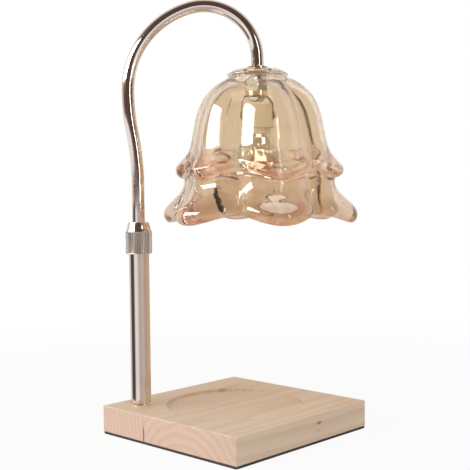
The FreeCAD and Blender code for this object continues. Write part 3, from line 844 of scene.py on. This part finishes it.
def grow(piece, tree, values):
    """Runs a Geometry Nodes tree on a piece and keeps its result as the piece's plain mesh."""
    modifier = piece.modifiers.new(tree.name, "NODES")
    modifier.node_group = tree
    names = {item.name: item.identifier for item in tree.interface.items_tree if item.in_out == "INPUT"}
    for label, value in values.items():
        modifier[names[label]] = value
    bpy.context.view_layer.update()
    made = bpy.data.meshes.new_from_object(piece.evaluated_get(bpy.context.evaluated_depsgraph_get()))
    piece.modifiers.remove(modifier)
    made.name = piece.name
    piece.data = made
    return piece


print("helpers: new_tree, close_tree, grow")


# %% The knurl and its finish
KNURL_COUNT = 46
KNURL_FOOT = 145.1
KNURL_TOP = 161.9
KNURL_MIDDLE = (KNURL_FOOT + KNURL_TOP) / 2
KNURL_HEIGHT = KNURL_TOP - KNURL_FOOT
KNURL_RADIUS = 9.98
RIDGE_SIDE = 0.72
GROOVE_REACH = (10.38, 10.05)
GRIP_FADE = 0.2
NICKEL_BRIGHT = rgb(0.86, 0.79, 0.73)
NICKEL_GROOVE_SHADE = rgb(0.42, 0.37, 0.33)


def knurl_tree(material):
    """Adds ridges on a circle to the incoming body. Each ridge is a square bar on its edge."""
    sizes = {"Count": "Int", "Radius": "Float", "Height": "Float", "Middle": "Vector", "Ridge": "Float"}
    graph, given = new_tree("straight_knurl", sizes)
    circle = graph.node(
        "GeometryNodeMeshCircle", inputs={"Vertices": given["Count"], "Radius": given["Radius"]}
    )
    outward = graph.node("GeometryNodeInputPosition")
    facing = graph.node("FunctionNodeAlignRotationToVector", {"axis": "X"}, {"Vector": outward})
    size = graph.node("ShaderNodeCombineXYZ", inputs=[given["Ridge"], given["Ridge"], given["Height"]])
    bar = graph.node("GeometryNodeMeshCube", inputs={"Size": size})
    turned_bar = graph.node(
        "GeometryNodeTransform", inputs={"Geometry": bar, "Rotation": (0.0, 0.0, math.radians(45))}
    )
    ridges = graph.node(
        "GeometryNodeInstanceOnPoints",
        inputs={"Points": circle, "Instance": turned_bar, "Rotation": facing},
    )
    real = graph.node("GeometryNodeRealizeInstances", inputs=[ridges])
    moved = graph.node("GeometryNodeTransform", inputs={"Geometry": real, "Translation": given["Middle"]})
    joined = graph.node("GeometryNodeJoinGeometry", inputs=[moved])
    graph.tree.links.new(given["Geometry"].socket, joined.socket.node.inputs[0])
    return close_tree(graph, joined, material)


def knurled_nickel():
    """Nickel with painted shade darkening the knurl's grooves, rougher on the grip, bright on the crests
    and the cone.
    """
    metal = Finish("knurled_nickel")
    _, _, z = metal.axes()
    from_middle = (z - KNURL_MIDDLE).abs()
    on_grip = from_middle.rise(KNURL_HEIGHT / 2 + GRIP_FADE, KNURL_HEIGHT / 2 - GRIP_FADE)
    # Painted shade: the grooves between the ridges are darkened in colour.
    groove_shade = metal.reach(POST_X, POST_Y).rise(*GROOVE_REACH) * on_grip
    spots = metal.noise(0.3, 4.0, 0.6)
    return metal.finish(
        Base_Color=metal.mix(groove_shade * 0.8 + spots * 0.2, NICKEL_BRIGHT, NICKEL_GROOVE_SHADE),
        Metallic=1.0,
        Roughness=0.10 + on_grip * 0.20 + spots * 0.08,
        Normal=metal.bump(spots, 0.05, 0.05),
    )


# %% The collar itself
knurl_nickel = knurled_nickel()
collar = mesh_piece(
    "collar_knurled",
    turned_points(collar_outline, COLLAR_COLUMNS, POST_X, POST_Y),
    [tuple(reversed(face)) for face in skin_faces(len(collar_outline), COLLAR_COLUMNS)],
    knurl_nickel,
)
knurl_sizes = {
    "Count": KNURL_COUNT,
    "Radius": KNURL_RADIUS * MM,
    "Height": KNURL_HEIGHT * MM,
    "Middle": [POST_X * MM, POST_Y * MM, KNURL_MIDDLE * MM],
    "Ridge": RIDGE_SIDE * MM,
}
grow(collar, knurl_tree(knurl_nickel), knurl_sizes)
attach(collar, "collar")
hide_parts("lock_collar")
print("collar:", len(collar.data.polygons), "faces")


# %% [markdown]
# ## The reflector lamp
# The lamp's bowl is pressed glass with a mirror coat. Its facets spread the light, and through the
# shade they show as a ring of bright and dark flecks. One column of facets is drawn, and Geometry
# Nodes repeat it round the axis.

# %% Faceted bowl
FACET_COLUMNS = 32
# Radius and height, from the neck down to the rim.
BOWL_OUTSIDE = [
    (10.4, 239.0),
    (11.8, 237.0),
    (12.6, 235.5),
    (13.2, 232.6),
    (13.7, 230.0),
    (15.0, 226.6),
    (16.8, 223.0),
    (19.2, 219.2),
    (22.0, 215.5),
    (24.3, 211.9),
    (24.9, 211.2),
    (25.0, 208.3),
    (24.7, 208.0),
]
BOWL_WALL = 1.2
FACET_FROM = 230.0
FACET_TO = 212.5
FACET_SWELL = 0.55
MIDDLE_LIFT = 1.004
WEDGE_LINES = (-1.0, 0.0, 1.0)
WELD_GAP = 0.02


def facet_column():
    """One wedge of the bowl, outside and inside. Its middle swells at every second height."""
    half = math.pi / FACET_COLUMNS
    inside = [(radius - BOWL_WALL, height) for radius, height in reversed(BOWL_OUTSIDE[:-1])]
    profile = BOWL_OUTSIDE + inside
    points = []
    for k, (radius, height) in enumerate(profile):
        swollen = k < len(BOWL_OUTSIDE) and k % 2 == 1 and FACET_TO < height < FACET_FROM
        for line in WEDGE_LINES:
            reach = radius
            if line == 0.0:
                reach = radius * MIDDLE_LIFT + (FACET_SWELL if swollen else 0.0)
            points.append((reach * math.cos(half * line), reach * math.sin(half * line), height))
    faces = []
    lines = len(WEDGE_LINES)
    for i in range(len(profile)):
        row = i * lines
        below = (i + 1) % len(profile) * lines
        for j in range(lines - 1):
            faces.append((row + j, below + j, below + j + 1, row + j + 1))
    return points, faces


def spin_tree(material):
    """Repeats the incoming wedge round its axis, joins the wedges and puts them in place."""
    graph, given = new_tree("facet_ring", {"Count": "Int", "Place": "Vector"})
    copies = graph.node(
        "GeometryNodeMeshLine", inputs={"Count": given["Count"], "Offset": (0.0, 0.0, 0.0)}
    )
    index = graph.node("GeometryNodeInputIndex")
    angle = index * (2 * math.pi) / given["Count"]
    turn = graph.node("ShaderNodeCombineXYZ", inputs=[0.0, 0.0, angle])
    wedges = graph.node(
        "GeometryNodeInstanceOnPoints",
        inputs={"Points": copies, "Instance": given["Geometry"], "Rotation": turn},
    )
    real = graph.node("GeometryNodeRealizeInstances", inputs=[wedges])
    weld = {"Geometry": real, "Distance": WELD_GAP * MM}
    welded = graph.node("GeometryNodeMergeByDistance", inputs=weld)
    moved = graph.node("GeometryNodeTransform", inputs={"Geometry": welded, "Translation": given["Place"]})
    return close_tree(graph, moved, material)


mirror_coat = plated("mirror_coat", rgb(0.82, 0.90, 0.96), 0.05, 0.06, grain=(0.4, 0.4, 0.4))
bowl = mesh_piece("reflector_faceted", *facet_column(), mirror_coat, smooth=False)
grow(bowl, spin_tree(mirror_coat), {"Count": FACET_COLUMNS, "Place": [SHADE_X * MM, SHADE_Y * MM, 0.0]})
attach(bowl, "bulb")
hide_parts("bulb_reflector")
print("bowl:", len(bowl.data.polygons), "faces")


# %% [markdown]
# The lamp's cover glass and its quartz capsule are clear. The cover is stippled, so that the glare is
# broken up, which a cellular pattern in the bump gives.

# %% Clear lamp glass
STIPPLE_PER_METRE = 420.0


def lamp_glass():
    glass = Finish("lamp_glass")
    stipple = {"Vector": glass.place, "Scale": STIPPLE_PER_METRE}
    cells = glass.node("ShaderNodeTexVoronoi", {"feature": "SMOOTH_F1"}, stipple)
    return glass.finish_glass(
        rgb(0.94, 0.95, 0.94),
        Base_Color=rgb(0.96, 0.97, 0.96),
        Roughness=0.04,
        IOR=1.47,
        Transmission_Weight=1.0,
        Normal=glass.bump(cells, 0.5, 0.6),
    )


dress(lamp_glass(), "bulb_lens", "bulb_burner")


# %% [markdown]
# ## Ceramic, rubber and the small hidden pieces
# The lampholder and the lamp's cap are cream steatite ceramic, matt with faint cloudy spots. The
# wires, gaskets, the slider in the post and the pad under the wood have plain finishes, but none of
# them is one flat colour.

# %% Ceramic
def steatite(name, light, dark):
    ceramic = Finish(name)
    cloud = ceramic.noise(0.12, 4.0, 0.6)
    grit = ceramic.noise(2.5, 2.0)
    colour = ceramic.mix(cloud.rise(0.35, 0.7) * 0.55 + grit.rise(0.6, 0.75) * 0.2, light, dark)
    return ceramic.finish(
        Base_Color=colour,
        Roughness=0.42 + 0.15 * cloud,
        Normal=ceramic.bump(grit + cloud * 0.5, 0.12, 0.08),
    )


dress(steatite("cream_ceramic", rgb(0.68, 0.69, 0.65), rgb(0.58, 0.57, 0.51)), "holder_body", "bulb_cap")


# %% Rubber, nylon and sleeves
def soft_skin(name, light, dark, roughness):
    """A moulded or extruded polymer with a fine matt grain."""
    skin = Finish(name)
    grain = skin.noise(0.8, 4.0, 0.6)
    patches = skin.noise(0.07, 2.0)
    return skin.finish(
        Base_Color=skin.mix(patches.rise(0.35, 0.7) * 0.7 + grain * 0.3, light, dark),
        Roughness=roughness + 0.1 * grain,
        Normal=skin.bump(grain, 0.25, 0.1),
    )


dress(soft_skin("pad_rubber", rgb(0.030, 0.028, 0.027), rgb(0.045, 0.042, 0.040), 0.75), "base_pad")
dress(soft_skin("gland_rubber", rgb(0.030, 0.030, 0.030), rgb(0.05, 0.05, 0.05), 0.6), "cord_gland")
dress(soft_skin("slider_nylon", rgb(0.84, 0.81, 0.72), rgb(0.76, 0.72, 0.62), 0.4), "arm_guide_bush")
dress(soft_skin("lead_silicone", rgb(0.80, 0.78, 0.70), rgb(0.70, 0.67, 0.58), 0.5), "holder_leads")
dress(soft_skin("splice_sleeve", rgb(0.22, 0.22, 0.24), rgb(0.32, 0.32, 0.34), 0.5), "lead_splices")
dress(
    soft_skin("gasket_silicone", rgb(0.70, 0.66, 0.58), rgb(0.60, 0.55, 0.46), 0.35),
    "upper_shade_gasket",
    "lower_shade_gasket",
)


# %% [markdown]
# ## The studio
# The photograph has a plain white ground, soft light from the left and a darker room behind the
# camera, which the polished tubes and the glass mirror. The floor is white to the camera, in mirrors
# and through glass. Near the lamp a small share of it is a dull pale colour that catches the shadow.

# %% Floor
FLOOR_HALF = 9000.0
FLOOR_CORNERS = [(-1, -1), (1, -1), (1, 1), (-1, 1)]
FLOOR_FADE = (250.0, 750.0)
SHADOW_SHARE = 0.10
WHITE = rgb(1.0, 1.0, 1.0)


def studio_floor():
    floor = Finish("studio_floor")
    paths = floor.outputs("ShaderNodeLightPath")
    seen = paths["Is Camera Ray"] + paths["Is Glossy Ray"] + paths["Is Transmission Ray"]
    far = floor.reach(0.0, 0.0).rise(*FLOOR_FADE)
    dull = floor.node("ShaderNodeBsdfDiffuse", inputs=[rgb(0.84, 0.83, 0.82)])
    white = floor.node("ShaderNodeEmission", inputs=[WHITE, 1.0])
    share = seen.smaller(1.0) * (1.0 - SHADOW_SHARE + far * SHADOW_SHARE)
    floor.output(floor.node("ShaderNodeMixShader", inputs=[share, dull, white]))
    return floor.material


floor_points = [(side_x * FLOOR_HALF, side_y * FLOOR_HALF, 0.0) for side_x, side_y in FLOOR_CORNERS]
floor = mesh_piece("studio_floor", floor_points, [(0, 1, 2, 3)], studio_floor(), smooth=False)
print("floor:", 2 * FLOOR_HALF, "mm on a side")


# %% [markdown]
# The post is a mirror that stands low, so it shows what stands round it near the floor. A low screen
# like a wide funnel, which is dark, white, lilac and tan in turn, gives the post the upright streaks
# that it has in the photograph. Only mirrors see the screen: it lights nothing and throws no shadow.
# Where a card or a lamp stands is given as an angle from the line towards the viewer, positive to
# the viewer's right.

# %% Low screen
VIEWER_DEG = -135.0
# Radius and height of the screen's two edges.
SCREEN_INNER = (115.0, 0.5)
SCREEN_OUTER = (460.0, 175.0)
SCREEN_STEPS = 120
# Angle and colour at each stop.
SCREEN_PARTS = [
    (-180.0, (0.62, 0.50, 0.38)),
    (-118.0, (0.85, 0.78, 0.70)),
    (-104.0, (0.10, 0.085, 0.08)),
    (-64.0, (0.07, 0.06, 0.06)),
    (-50.0, (0.86, 0.82, 0.80)),
    (-34.0, (1.0, 1.0, 1.0)),
    (-14.0, (0.80, 0.74, 0.71)),
    (0.0, (0.54, 0.46, 0.45)),
    (40.0, (0.62, 0.56, 0.54)),
    (70.0, (0.48, 0.40, 0.35)),
    (92.0, (0.62, 0.46, 0.30)),
    (180.0, (0.62, 0.50, 0.38)),
]


def screen_card():
    """A plain glowing card whose colour changes with the angle round the post."""
    card = Finish("screen_card")
    x, y, _ = card.axes()
    angle = card.node("ShaderNodeMath", {"operation": "ARCTAN2"}, [y - POST_Y, x - POST_X])
    turned = ((angle * (180.0 / math.pi) - VIEWER_DEG + 180.0) / 360.0).fraction()
    stops = [((degrees + 180.0) / 360.0, rgb(*colour)) for degrees, colour in SCREEN_PARTS]
    colour = card.node("ShaderNodeValToRGB", {"stops": stops}, [turned])
    card.output(card.node("ShaderNodeEmission", inputs=[colour, 1.0]))
    return card.material


def only_for_mirrors(card):
    """Hides a card from every ray but a mirror's."""
    card.visible_camera = False
    card.visible_diffuse = False
    card.visible_transmission = False
    card.visible_shadow = False


screen_points = turned_points([SCREEN_INNER, SCREEN_OUTER], SCREEN_STEPS, POST_X, POST_Y)
screen = mesh_piece("low_screen", screen_points, skin_faces(2, SCREEN_STEPS, False), screen_card())
only_for_mirrors(screen)
print("screen:", len(SCREEN_PARTS), "stops round the post")


# %% [markdown]
# A tall window shows in the photograph as long white streaks on two petals. It is a second card that
# only mirrors see, high on the left, so that its brightness does not reach the wood.

# %% Window card
WINDOW_DEG = (-98.0, -48.0)
WINDOW_REACH = 1100.0
WINDOW_HEIGHTS = (500.0, 960.0)
WINDOW_GLOW = 13.0
WINDOW_BAR_HEIGHT = 730.0
WINDOW_BAR_FADE = (14.0, 8.0)


def window_card():
    """A glowing card with a faint darker bar, as a window has."""
    card = Finish("window_card")
    _, _, z = card.axes()
    bar = (z - WINDOW_BAR_HEIGHT).abs().rise(*WINDOW_BAR_FADE)
    glow = card.mix(bar, WHITE, rgb(0.75, 0.75, 0.75))
    card.output(card.node("ShaderNodeEmission", inputs=[glow, WINDOW_GLOW]))
    return card.material


window_points = []
for degrees in WINDOW_DEG:
    angle = math.radians(VIEWER_DEG + degrees)
    for height in WINDOW_HEIGHTS:
        window_points.append((WINDOW_REACH * math.cos(angle), WINDOW_REACH * math.sin(angle), height))
window = mesh_piece("window", window_points, [(0, 1, 3, 2)], window_card(), smooth=False)
only_for_mirrors(window)
print("window: from", WINDOW_DEG[0], "to", WINDOW_DEG[1], "degrees from the viewer")


# %% [markdown]
# The world is white to the camera. Mirrors see it tan behind the lamp and dark brown in front of it,
# and through the glass it is white behind and tan in front. On dull surfaces its light is one plain
# soft level, so that colours come out as written.

# %% World
SOFT_LEVEL = rgb(0.52, 0.51, 0.50)
MIRRORED = {"front": rgb(0.10, 0.065, 0.05), "behind": rgb(0.82, 0.70, 0.61)}
THROUGH_GLASS = {"front": rgb(0.72, 0.56, 0.43), "behind": rgb(1.0, 0.97, 0.94)}
FRONT_TO_BEHIND = (-0.25, 0.25)


def studio_world():
    world = bpy.data.worlds.new("studio")
    bpy.context.scene.world = world
    world.use_nodes = True
    world.node_tree.nodes.clear()
    graph = Graph(world.node_tree)
    direction = graph.node("ShaderNodeTexCoord", output="Generated")
    away = tuple((TARGET - camera.matrix_world.translation).normalized())
    along = graph.node("ShaderNodeVectorMath", {"operation": "DOT_PRODUCT"}, [direction, away], output=1)
    paths = graph.outputs("ShaderNodeLightPath")
    refracted = paths["Is Transmission Ray"]
    pictured = (paths["Is Glossy Ray"] + refracted).smaller(1.0)
    front = graph.mix(refracted, MIRRORED["front"], THROUGH_GLASS["front"])
    behind = graph.mix(refracted, MIRRORED["behind"], THROUGH_GLASS["behind"])
    room = graph.mix(along.rise(*FRONT_TO_BEHIND), front, behind)
    lit = graph.mix(pictured, SOFT_LEVEL, room)
    shown = graph.mix(paths["Is Camera Ray"], lit, WHITE)
    background = graph.node("ShaderNodeBackground", inputs=[shown, 1.0])
    out = world.node_tree.nodes.new("ShaderNodeOutputWorld")
    world.node_tree.links.new(background.socket, out.inputs["Surface"])
    return world


print("world:", studio_world().name)


# %% [markdown]
# Three soft lamps light the scene: a broad one on the left, a narrow one on the right and one above.
# Mirrors don't see the broad one and the one above, because they would show there as plain
# rectangles that the photograph doesn't have.

# %% Lamps
LAMP_TINT = (1.0, 0.98, 0.95)
LAMP_AIM = Vector((0.0, 0.0, 0.20))


def softbox(name, angle_deg, height, distance, width, tall, watts):
    """A soft rectangular lamp, at an angle from the line towards the viewer, turned to LAMP_AIM."""
    data = bpy.data.lights.new(name, "AREA")
    data.shape = "RECTANGLE"
    data.size = width
    data.size_y = tall
    data.energy = watts
    data.color = LAMP_TINT
    angle = math.radians(VIEWER_DEG + angle_deg)
    place = Vector((distance * math.cos(angle), distance * math.sin(angle), height))
    turn = (LAMP_AIM - place).to_track_quat("-Z", "Y").to_matrix().to_4x4()
    light = bpy.data.objects.new(name, data)
    light.matrix_world = Matrix.Translation(place) @ turn
    bpy.context.scene.collection.objects.link(light)
    return light


window_left = softbox("window_left", -72.0, height=0.42, distance=1.10, width=0.90, tall=0.70, watts=5.4)
softbox("strip_right", 38.0, height=0.45, distance=1.20, width=0.12, tall=0.70, watts=1.8)
sky_above = softbox("sky_above", 10.0, height=1.50, distance=0.35, width=0.90, tall=0.90, watts=5.6)
window_left.visible_glossy = False
sky_above.visible_glossy = False
bpy.context.scene.view_settings.view_transform = "Standard"
